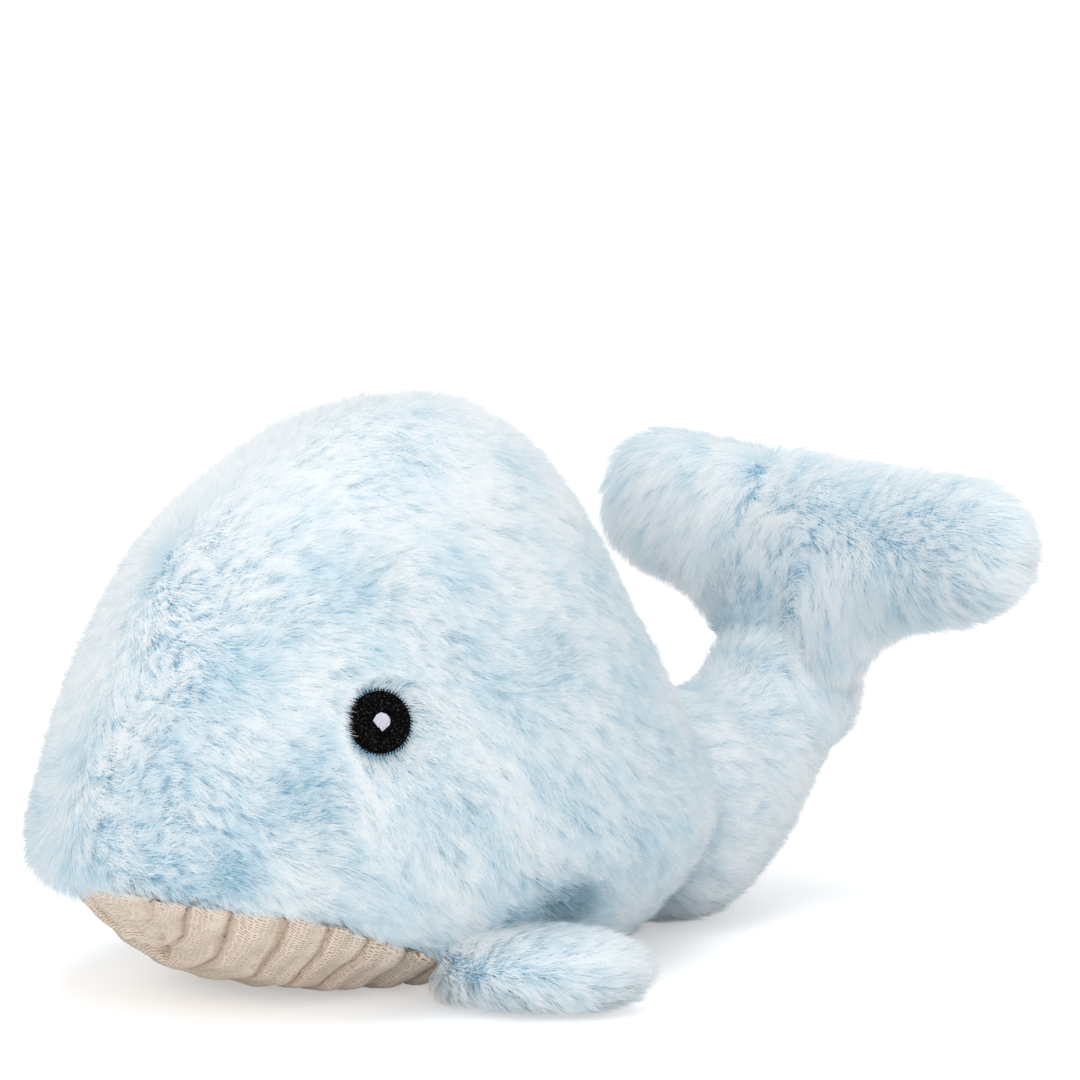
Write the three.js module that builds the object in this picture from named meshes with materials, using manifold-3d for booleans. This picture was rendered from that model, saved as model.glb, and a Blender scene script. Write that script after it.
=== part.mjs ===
import * as THREE from 'three';
import { mergeVertices } from 'three/addons/utils/BufferGeometryUtils.js';
import Module from 'manifold-3d';

// Plush whale lying on its ribbed belly. Millimetres, +Z up, nose towards -Y, the whale's left on +X.
// The origin is on the ground under the middle of the belly, on the crest of a rib.
// Fur surfaces are at the middle of the pile.

// Body
const bodyHeight = 174;
const bodyHalfLength = 115.5;
const bodyHalfWidth = 79;
const bodyWall = 8;
const seamGap = 0.3;
const restCut = 0.5;

// Ribs of the belly, which run from side to side and lie lower than the pile round them
const ribPitch = 12;
const ribDepth = 2.8;
const bellySetIn = 3.5;
const bellyToTail = 10;

// Embroidered eyes
const eyeRadius = 9.5;
const eyeThickness = 2.4;
const eyeCrown = 0.5;
const eyeStandProud = 0.6;
const eyeForward = 48;
const eyeHeight = 91;
const highlightRadius = 3;
const highlightThickness = 1;

// Tail, which bends about its root
const rootRadius = 34;
const rootHalfWidth = 38;
const rootSetIn = 5.5;
const groundClearance = 2;
const neckReach = 58;
const neckRise = 31;
const neckHalfThickness = 17.5;
const neckHalfWidth = 21.5;
const limbWall = 5;
const rootFullness = 2.3;

// Fluke, which nods about a knuckle at the neck of the tail
const knuckleMargin = 1;
const flukeHalfSpan = 94;
const flukeHeight = 74;
const flukeHalfThickness = 14;
const lobeHalfHeight = 20;
const flukeLean = THREE.MathUtils.degToRad(15);

// Flippers, which flap about a roll along the belly seam
const flipperReach = 39;
const flipperHalfWidth = 22;
const flipperHalfThickness = 9.4;
const flipperSweep = 17;
const flipperRootRadius = 10;
const flipperRootHalfLength = 21;
const flipperPlace = -9;
const flipperHeight = 12.6;
const flipperSeat = 1.6;

// Cutting tools reach this far past what they cut.
const overrun = 20;

// The belly ends in front of the root of the tail.
const bellyEnd = bodyHalfLength - rootSetIn - rootRadius - bellyToTail;

// Level slices of the body: height, middle, half length and half width, as shares of its sizes.
const bodyShares = [
  [0, 0, 0.44, 0.41],
  [0.0144, 0, 0.565, 0.56],
  [0.046, 0, 0.715, 0.71],
  [0.103, 0, 0.84, 0.835],
  [0.172, 0, 0.943, 0.94],
  [0.259, 0, 1, 1],
  [0.374, -0.024, 0.94, 0.965],
  [0.483, -0.039, 0.875, 0.9],
  [0.598, -0.048, 0.795, 0.815],
  [0.713, -0.043, 0.7, 0.715],
  [0.816, -0.023, 0.585, 0.595],
  [0.897, 0.018, 0.45, 0.46],
  [0.954, 0.043, 0.31, 0.32],
  [0.989, 0.067, 0.167, 0.17],
  [1, 0.07, 0, 0],
];
const widestShare = 0.259;

// Seam between the fur and the belly: place as a share of the half length, and height as a share.
const seamShares = [
  [-1.2, 0.232],
  [-1, 0.232],
  [-0.93, 0.228],
  [-0.83, 0.208],
  [-0.6, 0.184],
  [-0.37, 0.126],
  [-0.13, 0.07],
  [0, 0.054],
  [0.26, 0.046],
];

// Place across a rib from its crest, as a share of the pitch.
const ribPhaseShares = [-0.5, -0.37, -0.16, 0.16, 0.37];

// One half of the fluke: place along the span, lower edge, upper edge and half thickness, as shares.
const flukeShares = [
  [0, 0.02, 0.985, 1],
  [0.13, 0.035, 0.985, 1],
  [0.22, 0.1, 0.985, 0.98],
  [0.3, 0.24, 0.985, 0.95],
  [0.4, 0.36, 0.985, 0.92],
  [0.55, 0.42, 0.99, 0.88],
  [0.7, 0.455, 1, 0.84],
  [0.84, 0.5, 0.985, 0.74],
  [0.94, 0.57, 0.93, 0.55],
  [0.985, 0.66, 0.84, 0.3],
  [1, 0.745, 0.745, 0],
];
const flukeFullness = 2.3;

// A flipper from its root to its tip: reach, sweep to the back, half width and half thickness, as shares.
const flipperShares = [
  [0, 0, 0.9, 0.9],
  [0.2, 0.07, 0.97, 0.92],
  [0.4, 0.24, 1, 1],
  [0.6, 0.46, 0.95, 0.98],
  [0.78, 0.7, 0.8, 0.85],
  [0.9, 0.87, 0.56, 0.63],
  [0.975, 0.96, 0.28, 0.33],
  [1, 1, 0, 0],
];

// Fineness of the surfaces: outer faces are fine, and the hidden ones inside them are coarse.
const fine = { bodyStepsPerRow: 2, bodyRing: 36, limbRing: 16, rootRing: 24, rootSteps: 9, tailSteps: 8 };
const coarse = { bodyStepsPerRow: 1, bodyRing: 20, limbRing: 12, rootRing: 16, rootSteps: 7, tailSteps: 5 };
const bellyLowerArc = THREE.MathUtils.degToRad(100);
const bellyLowerSteps = 10;
const bellyUpperSteps = 4;
const seamStepsPerPlace = 3;
const eyeRingPoints = 24;
const walkSteps = 400;
const searchSteps = 30;
const slopeStepShare = 0.01;

const wasm = await Module();
wasm.setup();

function solidFrom(geometry) {
  const bare = geometry.clone();
  bare.deleteAttribute('normal');
  bare.deleteAttribute('uv');
  const merged = mergeVertices(bare);
  const faces = [];
  const index = merged.index.array;
  for (let i = 0; i < index.length; i += 3) {
    const [a, b, c] = index.slice(i, i + 3);
    if (a !== b && b !== c && c !== a) faces.push(a, b, c);
  }
  const vertProperties = Float32Array.from(merged.attributes.position.array);
  const triVerts = Uint32Array.from(faces);
  return new wasm.Manifold(new wasm.Mesh({ numProp: 3, vertProperties, triVerts }));
}

function geometryFrom(solid) {
  const { vertProperties, triVerts } = solid.getMesh();
  const geometry = new THREE.BufferGeometry();
  geometry.setAttribute('position', new THREE.BufferAttribute(vertProperties, 3));
  geometry.setIndex(new THREE.BufferAttribute(triVerts, 1));
  geometry.computeVertexNormals();
  return geometry;
}

function mirrored(geometry) {
  const copy = geometry.clone().scale(-1, 1, 1);
  const index = copy.index.array;
  for (let i = 0; i < index.length; i += 3) {
    [index[i + 1], index[i + 2]] = [index[i + 2], index[i + 1]];
  }
  copy.computeVertexNormals();
  return copy;
}

// A closed skin over rings that turn counter-clockwise about the way they go, with a fan over each end.
function loft(rings) {
  const count = rings[0].length;
  const points = rings.flat();
  const faces = [];
  for (let r = 0; r < rings.length - 1; r++) {
    for (let k = 0; k < count; k++) {
      const a = r * count + k;
      const b = r * count + ((k + 1) % count);
      faces.push(a, b, b + count, a, b + count, a + count);
    }
  }
  const lastStart = (rings.length - 1) * count;
  const firstMiddle = points.push(middleOf(rings[0])) - 1;
  const lastMiddle = points.push(middleOf(rings.at(-1))) - 1;
  for (let k = 0; k < count; k++) {
    const next = (k + 1) % count;
    faces.push(firstMiddle, next, k, lastMiddle, lastStart + k, lastStart + next);
  }
  const geometry = new THREE.BufferGeometry().setFromPoints(points);
  geometry.setIndex(faces);
  return geometry;
}

function middleOf(ring) {
  const sum = new THREE.Vector3();
  for (const point of ring) sum.add(point);
  return sum.divideScalar(ring.length);
}

// A row of a table of shares at a place between its rows, on a smooth curve through them.
function rowAt(table, place) {
  const last = table.length - 1;
  const start = Math.min(Math.floor(place), last - 1);
  const t = place - start;
  const near = [-1, 0, 1, 2].map((k) => table[THREE.MathUtils.clamp(start + k, 0, last)]);
  return near[1].map((value, column) => {
    const [a, b, c, d] = near.map((row) => row[column]);
    const in1 = (c - a) / 2;
    const in2 = (d - b) / 2;
    return b + t * (in1 + t * (3 * (c - b) - 2 * in1 - in2 + t * (2 * (b - c) + in1 + in2)));
  });
}

// A point at an angle on an oval that is fuller than an ellipse where the exponent is over 2.
function ovalPoint(angle, halfAcross, halfUp, fullness = 2) {
  const round = (value) => Math.sign(value) * Math.abs(value) ** (2 / fullness);
  return [halfAcross * round(Math.cos(angle)), halfUp * round(Math.sin(angle))];
}

// Angles round a ring, with none on the planes that the halves are parted at.
function turns(count) {
  return Array.from({ length: count }, (_, k) => (2 * Math.PI * (k + 1 / 2)) / count);
}

function boxSolid(min, max) {
  const size = max.clone().sub(min);
  const box = new THREE.BoxGeometry(size.x, size.y, size.z);
  return solidFrom(box.translate((min.x + max.x) / 2, (min.y + max.y) / 2, (min.z + max.z) / 2));
}

// A round root that swells in the middle, turned about the X axis.
function rootSolid(radius, halfWidth, detail) {
  const profile = [];
  for (let k = 0; k <= detail.rootSteps; k++) {
    const angle = Math.PI * (k / detail.rootSteps - 1 / 2);
    const ends = k === 0 || k === detail.rootSteps;
    const [out, along] = ovalPoint(angle, radius, halfWidth, rootFullness);
    profile.push(new THREE.Vector2(ends ? 0 : out, along));
  }
  const round = new THREE.LatheGeometry(profile, detail.rootRing, Math.PI / detail.rootRing);
  return solidFrom(round.rotateZ(-Math.PI / 2));
}

// The body is a stack of level ovals. Inset moves its whole surface inwards.
function bodySlice(place, inset) {
  const [up, middle, long, wide] = rowAt(bodyShares, place);
  return {
    z: inset - restCut + up * (bodyHeight + restCut - 2 * inset),
    middle: middle * bodyHalfLength,
    halfLength: long * (bodyHalfLength - inset),
    halfWidth: wide * (bodyHalfWidth - inset),
  };
}

function bodySolid(inset, detail) {
  const rings = [];
  for (let k = 0; k <= (bodyShares.length - 1) * detail.bodyStepsPerRow; k++) {
    const slice = bodySlice(k / detail.bodyStepsPerRow, inset);
    rings.push(turns(detail.bodyRing).map((angle) => {
      const [x, y] = ovalPoint(angle, slice.halfWidth, slice.halfLength);
      return new THREE.Vector3(x, slice.middle + y, slice.z);
    }));
  }
  return solidFrom(loft(rings));
}

// The largest value from zero up to a limit for which a test holds.
function furthest(limit, holds) {
  let near = 0;
  let far = limit;
  for (let k = 0; k < searchSteps; k++) {
    const half = (near + far) / 2;
    if (holds(half)) near = half;
    else far = half;
  }
  return near;
}

// Below zero inside the body and above zero outside it.
function bodyField(x, y, z) {
  const lastRow = bodyShares.length - 1;
  const slice = bodySlice(furthest(lastRow, (place) => bodySlice(place, 0).z < z), 0);
  return (x / slice.halfWidth) ** 2 + ((y - slice.middle) / slice.halfLength) ** 2 - 1;
}

function insideBody(x, y, z) {
  return z > -restCut && z < bodyHeight && bodyField(x, y, z) < 0;
}

function bodyNormal(point) {
  if (point.z < -restCut / 2) return new THREE.Vector3(0, 0, -1);
  const step = slopeStepShare * bodyWall;
  const slope = ['x', 'y', 'z'].map((axis) => {
    const ahead = point.clone();
    const behind = point.clone();
    ahead[axis] += step;
    behind[axis] -= step;
    return bodyField(...ahead) - bodyField(...behind);
  });
  return new THREE.Vector3(...slope).normalize();
}

// Height at which the body is longest and widest, where the rays to the belly start.
const widestHeight = bodyHeight * widestShare;

function bellyPoint(y, angle) {
  const across = -Math.sin(angle);
  const up = -Math.cos(angle);
  const reach = furthest(bodyHeight, (r) => insideBody(across * r, y, widestHeight + up * r));
  return new THREE.Vector3(across * reach, y, widestHeight + up * reach);
}

// Distances along the middle of the belly from the origin, each with its place in Y.
function walkBelly(end) {
  const path = [[0, 0]];
  let last = bellyPoint(0, 0);
  for (let k = 1; k <= walkSteps; k++) {
    const next = bellyPoint((end * k) / walkSteps, 0);
    path.push([path.at(-1)[0] + next.distanceTo(last), next.y]);
    last = next;
  }
  return path;
}

function placeOn(path, distance) {
  const after = path.findIndex((step) => step[0] >= distance);
  if (after < 1) return path[Math.max(after, 0)][1];
  const [s0, y0] = path[after - 1];
  const [s1, y1] = path[after];
  return THREE.MathUtils.mapLinear(distance, s0, s1, y0, y1);
}

// Rings across the belly at the places where a rib starts, swells and ends, each with its groove's depth.
function ribStations() {
  const toNose = walkBelly(seamGap - bodyHalfLength);
  const toBack = walkBelly(bellyEnd + ribPitch);
  const ribsToNose = Math.floor(toNose.at(-1)[0] / ribPitch);
  const ribsToBack = Math.floor(toBack.at(-1)[0] / ribPitch);
  const stations = [];
  for (let rib = -ribsToNose; rib <= ribsToBack; rib++) {
    for (const phase of ribPhaseShares) {
      const distance = (rib + phase) * ribPitch;
      const path = distance < 0 ? toNose : toBack;
      if (Math.abs(distance) > path.at(-1)[0]) continue;
      const groove = 1 - Math.sqrt(1 - (2 * phase) ** 2);
      stations.push({ y: placeOn(path, Math.abs(distance)), depth: ribDepth * groove });
    }
  }
  return stations;
}

// A ring is fine over the arc below the body's widest height, where the belly shows, and coarse above it.
function bellyRing({ y, depth }) {
  const ring = [];
  for (let k = 0; k <= bellyLowerSteps; k++) {
    const point = bellyPoint(y, bellyLowerArc * ((2 * k) / bellyLowerSteps - 1));
    const normal = bodyNormal(point);
    const setIn = bellySetIn * (1 - normal.z ** 2);
    ring.push(point.addScaledVector(normal, -setIn - depth));
  }
  for (let k = 1; k < bellyUpperSteps; k++) {
    ring.push(bellyPoint(y, bellyLowerArc + (2 * (Math.PI - bellyLowerArc) * k) / bellyUpperSteps));
  }
  return ring;
}

function ribbedSolid() {
  return solidFrom(loft(ribStations().map(bellyRing)));
}

// Everything below the belly seam, raised and lengthened by a margin.
function belowSeam(margin) {
  const places = seamShares.map(([along, up]) =>
    new THREE.Vector2(along * bodyHalfLength, up * bodyHeight + margin));
  const end = bellyEnd + margin;
  places.push(new THREE.Vector2(end, places.at(-1).y));
  const curve = new THREE.SplineCurve(places).getPoints(seamStepsPerPlace * places.length);
  const floor = -restCut - overrun;
  curve.push(new THREE.Vector2(end, floor), new THREE.Vector2(curve[0].x, floor));
  const depth = 2 * (bodyHalfWidth + overrun);
  const slab = new THREE.ExtrudeGeometry(new THREE.Shape(curve.reverse()), { depth, bevelEnabled: false });
  slab.translate(0, 0, -depth / 2);
  const axes = [new THREE.Vector3(0, 1, 0), new THREE.Vector3(0, 0, 1), new THREE.Vector3(1, 0, 0)];
  return solidFrom(slab.applyMatrix4(new THREE.Matrix4().makeBasis(...axes)));
}

// Tail in its own frame, with the origin on the hinge.
const neck = new THREE.Vector3(0, neckReach, neckRise);

function tailSolid(inset, detail) {
  const bend = new THREE.Vector3(0, neckReach / 2, 0);
  const spine = new THREE.QuadraticBezierCurve3(new THREE.Vector3(), bend, neck);
  const across = new THREE.Vector3(1, 0, 0);
  const rings = [];
  for (let k = 0; k <= detail.tailSteps; k++) {
    const along = k / detail.tailSteps;
    const taper = (1 + Math.cos(Math.PI * along)) / 2;
    const halfWidth = THREE.MathUtils.lerp(neckHalfWidth, rootHalfWidth, taper) - inset;
    const halfThickness = THREE.MathUtils.lerp(neckHalfThickness, rootRadius, taper) - inset;
    const up = spine.getTangent(along).cross(across);
    rings.push(turns(detail.limbRing).map((angle) => {
      const [x, v] = ovalPoint(angle, halfWidth, halfThickness);
      return spine.getPoint(along).addScaledVector(across, x).addScaledVector(up, v);
    }));
  }
  return solidFrom(loft(rings)).add(rootSolid(rootRadius - inset, rootHalfWidth - inset, detail));
}

function knuckleSolid(inset, detail) {
  const larger = knuckleMargin - inset;
  return rootSolid(neckHalfThickness + larger, neckHalfWidth + larger, detail);
}

// Fluke in its own frame, with the origin on the knuckle, +Z along its lean and its front towards -Y.
function flukeSolid(inset, detail) {
  const rings = [];
  const last = flukeShares.length - 1;
  for (let k = -last; k <= last; k++) {
    const [along, low, high, thick] = flukeShares[Math.abs(k)];
    const x = Math.sign(k) * along * (flukeHalfSpan - inset);
    const middle = ((low + high) / 2) * flukeHeight;
    const halfHeight = ((high - low) / 2) * flukeHeight * (1 - inset / lobeHalfHeight);
    const halfThickness = thick * (flukeHalfThickness - inset);
    rings.push(turns(detail.limbRing).map((angle) => {
      const [y, z] = ovalPoint(angle, halfThickness, halfHeight, flukeFullness);
      return new THREE.Vector3(x, y, middle + z);
    }));
  }
  return solidFrom(loft(rings)).add(knuckleSolid(inset, detail));
}

// Left flipper in its own frame, with the origin on the hinge and its tip towards +X.
function flipperRoot(inset, detail) {
  const roll = rootSolid(flipperRootRadius - inset, flipperRootHalfLength - inset, detail);
  return solidFrom(geometryFrom(roll).rotateZ(Math.PI / 2));
}

function flipperSolid(inset, detail) {
  const rings = [];
  for (const [out, sweep, wide, thick] of flipperShares) {
    rings.push(turns(detail.limbRing).map((angle) => {
      const width = wide * (flipperHalfWidth - inset);
      const [y, z] = ovalPoint(angle, width, thick * (flipperHalfThickness - inset));
      return new THREE.Vector3(out * (flipperReach - inset), sweep * flipperSweep + y, z);
    }));
  }
  return solidFrom(loft(rings)).add(flipperRoot(inset, detail));
}

// Eye about its own Z axis, with the origin on the body's surface.
const highlightFloor = eyeStandProud + eyeCrown - highlightThickness / 2;

function eyeDisc() {
  const back = eyeStandProud - eyeThickness;
  const profile = [new THREE.Vector2(0, back), new THREE.Vector2(eyeRadius, back)];
  const crownShares = [[1, 0], [0.97, 0.45], [0.6, 0.85], [0, 1]];
  for (const [out, up] of crownShares) {
    profile.push(new THREE.Vector2(out * eyeRadius, eyeStandProud + up * eyeCrown));
  }
  const disc = solidFrom(new THREE.LatheGeometry(profile, eyeRingPoints).rotateX(Math.PI / 2));
  return disc.subtract(button(highlightRadius + seamGap, highlightFloor - seamGap, overrun));
}

function button(radius, floor, height) {
  const disc = new THREE.CylinderGeometry(radius, radius, height, eyeRingPoints).rotateX(Math.PI / 2);
  return solidFrom(disc.translate(0, 0, floor + height / 2));
}

function eyeHighlight() {
  return button(highlightRadius, highlightFloor, highlightThickness);
}

// Where each piece sits
const tailHinge = new THREE.Vector3(0, bodyHalfLength - rootSetIn, rootRadius + groundClearance);
const flipperSide = furthest(bodyHalfWidth, (x) => insideBody(x, flipperPlace, flipperHeight));
const flipperHinge = new THREE.Vector3(
  flipperSide + flipperRootRadius - flipperSeat, flipperPlace, flipperHeight);
const eyeSide = furthest(bodyHalfWidth, (x) => insideBody(x, -eyeForward, eyeHeight));
const eyePlace = new THREE.Vector3(eyeSide, -eyeForward, eyeHeight);
const eyeTurn = new THREE.Quaternion().setFromUnitVectors(new THREE.Vector3(0, 0, 1), bodyNormal(eyePlace));

function placed(solid, position, turn = new THREE.Quaternion()) {
  const geometry = geometryFrom(solid).applyQuaternion(turn).translate(...position);
  return solidFrom(geometry);
}

function bothSides(solid) {
  return solid.add(solidFrom(mirrored(geometryFrom(solid))));
}

// Room that the tail and the flippers turn in, and that the eyes lie in
const tailSocket = placed(rootSolid(rootRadius + seamGap, rootHalfWidth + seamGap, fine), tailHinge);
const flipperSockets = bothSides(placed(flipperRoot(-seamGap, coarse), flipperHinge));
const eyeRecess = bothSides(
  placed(button(eyeRadius + seamGap, eyeStandProud - eyeThickness - seamGap, overrun), eyePlace, eyeTurn));

const far = bodyHeight + bodyHalfLength + overrun;
const under = boxSolid(new THREE.Vector3(-far, -far, -far), new THREE.Vector3(far, far, 0));
const leftHalf = boxSolid(new THREE.Vector3(seamGap / 2, -far, -far), new THREE.Vector3(far, far, far));
const frontHalf = boxSolid(new THREE.Vector3(-far, -far, -far), new THREE.Vector3(far, -seamGap / 2, far));
const backHalf = boxSolid(new THREE.Vector3(-far, seamGap / 2, -far), new THREE.Vector3(far, far, far));
const topHalf = boxSolid(new THREE.Vector3(-far, -far, seamGap / 2), new THREE.Vector3(far, far, far));
const lowerHalf = boxSolid(new THREE.Vector3(-far, -far, -far), new THREE.Vector3(far, far, -seamGap / 2));

const materials = {
  fur: new THREE.MeshStandardMaterial({ color: 0xbcd8e6, roughness: 0.95, metalness: 0 }),
  velour: new THREE.MeshStandardMaterial({ color: 0xcdbba9, roughness: 0.9, metalness: 0 }),
  filling: new THREE.MeshStandardMaterial({ color: 0xf2f0ea, roughness: 0.95, metalness: 0 }),
  blackThread: new THREE.MeshStandardMaterial({ color: 0x131316, roughness: 0.5, metalness: 0 }),
  whiteThread: new THREE.MeshStandardMaterial({ color: 0xd9dae6, roughness: 0.5, metalness: 0 }),
};

function piece(name, geometry, material) {
  const mesh = new THREE.Mesh(geometry, material.clone());
  mesh.name = name;
  return mesh;
}

function bodyPieces() {
  const fur = bodySolid(0, fine).subtract(bodySolid(bodyWall, coarse));
  const room = tailSocket.add(flipperSockets).add(eyeRecess);
  const side = fur.subtract(belowSeam(seamGap)).subtract(under).subtract(room).intersect(leftHalf);
  const leftSide = geometryFrom(side);
  const ribbed = ribbedSolid().subtract(bodySolid(bodyWall, coarse));
  const belly = ribbed.intersect(belowSeam(0)).subtract(under).subtract(room);
  const filling = bodySolid(bodyWall + seamGap, coarse).subtract(tailSocket);
  return [
    piece('left_side_panel', leftSide, materials.fur),
    piece('right_side_panel', mirrored(leftSide), materials.fur),
    piece('belly_panel', geometryFrom(belly), materials.velour),
    piece('body_stuffing', geometryFrom(filling), materials.filling),
  ];
}

function eyePieces() {
  const disc = geometryFrom(placed(eyeDisc(), eyePlace, eyeTurn));
  const highlight = geometryFrom(placed(eyeHighlight(), eyePlace, eyeTurn));
  return [
    piece('left_eye_disc', disc, materials.blackThread),
    piece('left_eye_highlight', highlight, materials.whiteThread),
    piece('right_eye_disc', mirrored(disc), materials.blackThread),
    piece('right_eye_highlight', mirrored(highlight), materials.whiteThread),
  ];
}

function tailGroup() {
  const socket = placed(knuckleSolid(-seamGap, fine), neck);
  const shell = tailSolid(0, fine).subtract(tailSolid(limbWall, coarse)).subtract(socket);
  const leftSide = geometryFrom(shell.intersect(leftHalf));
  const filling = tailSolid(limbWall + seamGap, coarse).subtract(socket);
  const group = new THREE.Group();
  group.position.copy(tailHinge);
  group.add(
    piece('tail_left_panel', leftSide, materials.fur),
    piece('tail_right_panel', mirrored(leftSide), materials.fur),
    piece('tail_stuffing', geometryFrom(filling), materials.filling),
  );
  return group;
}

function flukeGroup() {
  const shell = flukeSolid(0, fine).subtract(flukeSolid(limbWall, coarse));
  const group = new THREE.Group();
  group.position.copy(neck);
  group.rotation.x = -flukeLean;
  group.add(
    piece('fluke_front_panel', geometryFrom(shell.intersect(frontHalf)), materials.fur),
    piece('fluke_back_panel', geometryFrom(shell.intersect(backHalf)), materials.fur),
    piece('fluke_stuffing', geometryFrom(flukeSolid(limbWall + seamGap, coarse)), materials.filling),
  );
  return group;
}

function flipperGroups() {
  const shell = flipperSolid(0, coarse).subtract(flipperSolid(limbWall, coarse));
  const parts = [
    ['flipper_top_panel', geometryFrom(shell.intersect(topHalf)), materials.fur],
    ['flipper_bottom_panel', geometryFrom(shell.intersect(lowerHalf)), materials.fur],
    ['flipper_stuffing', geometryFrom(flipperSolid(limbWall + seamGap, coarse)), materials.filling],
  ];
  const left = new THREE.Group();
  left.position.copy(flipperHinge);
  left.add(...parts.map(([name, shape, material]) => piece(`left_${name}`, shape, material)));
  const right = new THREE.Group();
  right.position.set(-flipperHinge.x, flipperHinge.y, flipperHinge.z);
  right.add(...parts.map(([name, shape, material]) => piece(`right_${name}`, mirrored(shape), material)));
  return [left, right];
}

const whale = new THREE.Group();
const tail = tailGroup();
tail.add(flukeGroup());
whale.add(...bodyPieces(), ...eyePieces(), tail, ...flipperGroups());

export default whale;
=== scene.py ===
import math

import bmesh
import bpy
import numpy as np
from mathutils import Matrix, Vector
from mathutils.bvhtree import BVHTree
from mathutils.kdtree import KDTree


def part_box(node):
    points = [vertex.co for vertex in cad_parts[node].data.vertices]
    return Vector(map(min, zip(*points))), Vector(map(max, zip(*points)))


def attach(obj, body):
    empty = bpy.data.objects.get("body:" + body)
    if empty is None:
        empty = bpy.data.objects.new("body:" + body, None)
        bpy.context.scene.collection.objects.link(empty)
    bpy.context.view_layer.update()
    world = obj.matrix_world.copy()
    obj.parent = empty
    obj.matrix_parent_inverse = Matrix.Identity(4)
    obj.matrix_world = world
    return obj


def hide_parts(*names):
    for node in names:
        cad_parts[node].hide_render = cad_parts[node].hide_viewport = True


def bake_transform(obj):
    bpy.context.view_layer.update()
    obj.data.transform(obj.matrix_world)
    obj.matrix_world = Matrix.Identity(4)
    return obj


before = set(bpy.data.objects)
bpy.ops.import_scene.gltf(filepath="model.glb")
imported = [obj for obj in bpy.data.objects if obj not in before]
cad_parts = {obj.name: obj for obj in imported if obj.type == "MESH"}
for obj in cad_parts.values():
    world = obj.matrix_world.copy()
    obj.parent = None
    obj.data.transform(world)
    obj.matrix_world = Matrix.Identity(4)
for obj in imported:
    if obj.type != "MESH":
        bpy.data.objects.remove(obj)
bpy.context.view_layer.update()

scene = bpy.context.scene

# Whole whale
# The fur panels and the belly are sewn edge to edge, so the pile grows from one unbroken surface.
# It runs through the middle of the pile, and every hair and every layer of cloth is placed from it.
MM = 0.001
WELD = 0.001 * MM
SURFACE_WEAVE = 2.5 * MM
SURFACE_EASING = 4
WAVES = 8
WAVE_STRETCH = (0.7, 1.4)
WAVE_DAMPING = 3
SIDES = (("left", 1), ("right", -1))


def joined_copy(name, nodes):
    """A new object with the merged meshes of some of the whale's solids."""
    shape = bmesh.new()
    for node in nodes:
        shape.from_mesh(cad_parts[node].data)
    bmesh.ops.remove_doubles(shape, verts=shape.verts, dist=WELD)
    mesh = bpy.data.meshes.new(name)
    shape.to_mesh(mesh)
    shape.free()
    made = bpy.data.objects.new(name, mesh)
    scene.collection.objects.link(made)
    return made


def rounded(piece, weave, passes):
    """Remeshes a piece to even cloth of a fineness, eases its facets and applies that."""
    cloth = piece.modifiers.new("cloth", "REMESH")
    cloth.mode = "VOXEL"
    cloth.voxel_size = weave
    ease = piece.modifiers.new("ease", "SMOOTH")
    ease.iterations = passes
    graph = bpy.context.evaluated_depsgraph_get()
    facets, piece.data = piece.data, bpy.data.meshes.new_from_object(piece.evaluated_get(graph))
    piece.modifiers.clear()
    bpy.data.meshes.remove(facets)
    piece.data.name = piece.name
    piece.data.shade_smooth()
    return piece


def numbers(collection, key, width):
    """A property of all members of a collection, as rows of numbers."""
    values = np.empty(len(collection) * width)
    collection.foreach_get(key, values)
    return values.reshape(-1, width)


def unit(vectors):
    """Vectors of length 1 in the same directions."""
    return vectors / (np.linalg.norm(vectors, axis=1, keepdims=True) + 1e-12)


def mixed(first, second, share):
    """From the first value at share 0 to the second at share 1."""
    return first + share * (second - first)


def ramp(values, start, end):
    """From 0 at start to 1 at end, smoothly."""
    share = np.clip((values - start) / (end - start), 0, 1)
    return share * share * (3 - 2 * share)


def falloff(distance, width, power=2):
    """From 1 at distance 0 smoothly to 0 beyond a width. A higher power gives a flatter top."""
    return np.exp(-((distance / width) ** power))


def ripple(places, length, seed):
    """Smooth chance values about zero, mostly within 1, that change over a length."""
    chance = np.random.default_rng(seed)
    turns = unit(chance.normal(size=(WAVES, 3)))
    turns *= chance.uniform(*WAVE_STRETCH, (WAVES, 1)) * math.tau / length
    return np.cos(places @ turns.T + chance.uniform(0, math.tau, WAVES)).sum(axis=1) / WAVE_DAMPING


panels = [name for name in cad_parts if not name.endswith("_stuffing")]
whale = rounded(joined_copy("whale_surface", list(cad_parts)), SURFACE_WEAVE, SURFACE_EASING)
surface = whale.data
surface.calc_loop_triangles()
surface_points = numbers(surface.vertices, "co", 3)
surface_normals = numbers(surface.vertices, "normal", 3)
surface_faces = numbers(surface.loop_triangles, "vertices", 3).astype(int)
surface_search = BVHTree.FromPolygons(surface_points.tolist(), surface_faces.tolist())
bpy.data.objects.remove(whale)

panel_points, panel_faces, panel_of_face = [], [], []
for index, name in enumerate(panels):
    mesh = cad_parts[name].data
    first = len(panel_points)
    panel_points += numbers(mesh.vertices, "co", 3).tolist()
    mesh.calc_loop_triangles()
    corners = numbers(mesh.loop_triangles, "vertices", 3).astype(int) + first
    panel_faces += corners.tolist()
    panel_of_face += [index] * len(corners)
panel_search = BVHTree.FromPolygons(panel_points, panel_faces)


# Cloth backing of the fur
# Each fur panel is long pile knitted into a blue polyester backing. The panels are sewn inside out,
# turned and stuffed, so each is a padded wall that lies under the middle of the pile.
BODY_PILE_DEPTH = 5 * MM
LIMB_PILE_DEPTH = 3.2 * MM
BACKING_WEAVE = 3 * MM
BACKING_EASING = 2
SEAM_SWELL = 0.6 * MM
LOOPS_PER_METRE = 900


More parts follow.
